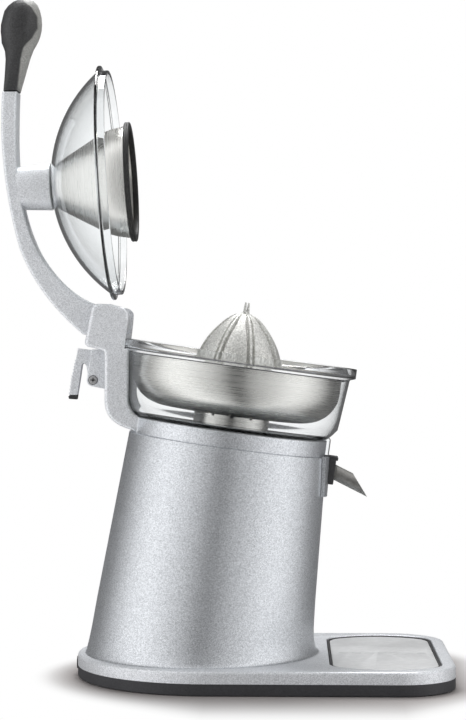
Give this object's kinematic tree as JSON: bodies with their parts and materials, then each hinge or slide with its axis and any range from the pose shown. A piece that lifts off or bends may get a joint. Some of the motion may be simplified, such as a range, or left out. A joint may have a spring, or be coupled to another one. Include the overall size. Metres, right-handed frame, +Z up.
{
  "type": "citrus press juicer",
  "caption": "Electric citrus press: tilted motor housing on a flat base, clear bowl with steel strainer, ribbed reamer, lever arm with clear dome and fruit funnel, spout and drip tray.",
  "frame": {"origin": "centre of the overall box on the floor, under the machine", "axes": "+X to the spout and drip tray at the front, +Z up, Y across, longest size up"},
  "size_m": [0.3638, 0.216, 0.5478],
  "materials": {
    "sole_black": "matte",
    "silver_paint": "sparkle",
    "rubber": "matte",
    "black_plastic": "textured",
    "clear_plastic": "clear",
    "brushed_steel": "brushed",
    "zinc_steel": "satin",
    "reamer_metal": "satin",
    "gear_plastic": "matte",
    "brass": "satin",
    "copper": "satin",
    "motor_steel": "satin"
  },
  "bodies": {
    "frame": {"sole": "sole_black", "rubber_feet": "rubber", "base_plate": "silver_paint", "base_screws": "zinc_steel", "power_inlet": "black_plastic", "body_housing": "silver_paint", "yoke": "silver_paint", "yoke_screws": "zinc_steel", "arm_pivot_pin": "zinc_steel", "pivot_clips": "zinc_steel", "catch_screw": "zinc_steel", "catch_spring": "zinc_steel", "motor_can": "motor_steel", "motor_screws": "zinc_steel", "motor_bearings": "zinc_steel", "motor_stator": "copper", "gear_plate": "motor_steel", "gear_cover": "motor_steel", "gearbox_screws": "zinc_steel", "idler_pin": "zinc_steel", "shaft_bushes": "brass", "shaft_seal": "rubber", "spout_collar": "black_plastic", "spout_pivot": "zinc_steel"},
    "catch": {"catch_lever": "silver_paint"},
    "rotor": {"rotor": "zinc_steel", "motor_pinion": "brass"},
    "idler": {"idler_gear": "gear_plastic"},
    "shaft": {"drive_shaft": "zinc_steel", "output_gear": "gear_plastic"},
    "bowl": {"bowl": "clear_plastic"},
    "strainer": {"strainer": "brushed_steel"},
    "reamer": {"reamer": "reamer_metal"},
    "spout": {"spout_tube": "brushed_steel"},
    "arm": {"arm": "silver_paint", "handle_grip": "black_plastic", "dome_cover": "clear_plastic", "fruit_funnel": "brushed_steel", "funnel_ring": "rubber", "funnel_screw": "zinc_steel"},
    "tray": {"drip_tray": "black_plastic", "tray_grille": "brushed_steel"}
  },
  "joints": [
    {"name": "arm_swing", "type": "hinge", "parent": "frame", "child": "arm", "pos_m": [-0.09837, 0, 0.28727], "axis": [0, -1, 0], "range_deg": [-101, 0]},
    {"name": "shaft_spin", "type": "hinge", "parent": "frame", "child": "shaft", "pos_m": [0.0014, 0, 0.1982], "axis": [0.134, 0, 0.991], "continuous": true},
    {"name": "idler_spin", "type": "hinge", "parent": "frame", "child": "idler", "pos_m": [-0.0441, 0, 0.16398], "axis": [0.134, 0, 0.991], "continuous": true},
    {"name": "rotor_spin", "type": "hinge", "parent": "frame", "child": "rotor", "pos_m": [-0.02691, -0.02873, 0.1112], "axis": [0.134, 0, 0.991], "continuous": true},
    {"name": "bowl_lift", "type": "slide", "parent": "frame", "child": "bowl", "axis": [0.134, 0, 0.991], "range_m": [0, 0.05]},
    {"name": "strainer_lift", "type": "slide", "parent": "bowl", "child": "strainer", "axis": [0.134, 0, 0.991], "range_m": [0, 0.04]},
    {"name": "reamer_spin", "type": "hinge", "parent": "strainer", "child": "reamer", "pos_m": [0.00977, 0, 0.26013], "axis": [0.134, 0, 0.991], "continuous": true},
    {"name": "spout_flip", "type": "hinge", "parent": "frame", "child": "spout", "pos_m": [0.0814, 0, 0.16669], "axis": [0, -1, 0], "range_deg": [0, 30]},
    {"name": "catch_press", "type": "hinge", "parent": "frame", "child": "catch", "pos_m": [-0.10857, 0, 0.23887], "axis": [0, -1, 0], "range_deg": [0, 8], "stiffness_Nm_per_rad": 0.3, "springref_deg": -8.59},
    {"name": "tray_lift", "type": "slide", "parent": "frame", "child": "tray", "axis": [0, 0, 1], "range_m": [0, 0.04]}
  ],
  "couplings": [
    {"joint": "idler_spin", "follows": "shaft_spin", "ratio": -2.6},
    {"joint": "rotor_spin", "follows": "shaft_spin", "ratio": 7.15},
    {"joint": "reamer_spin", "follows": "shaft_spin", "ratio": 1}
  ]
}
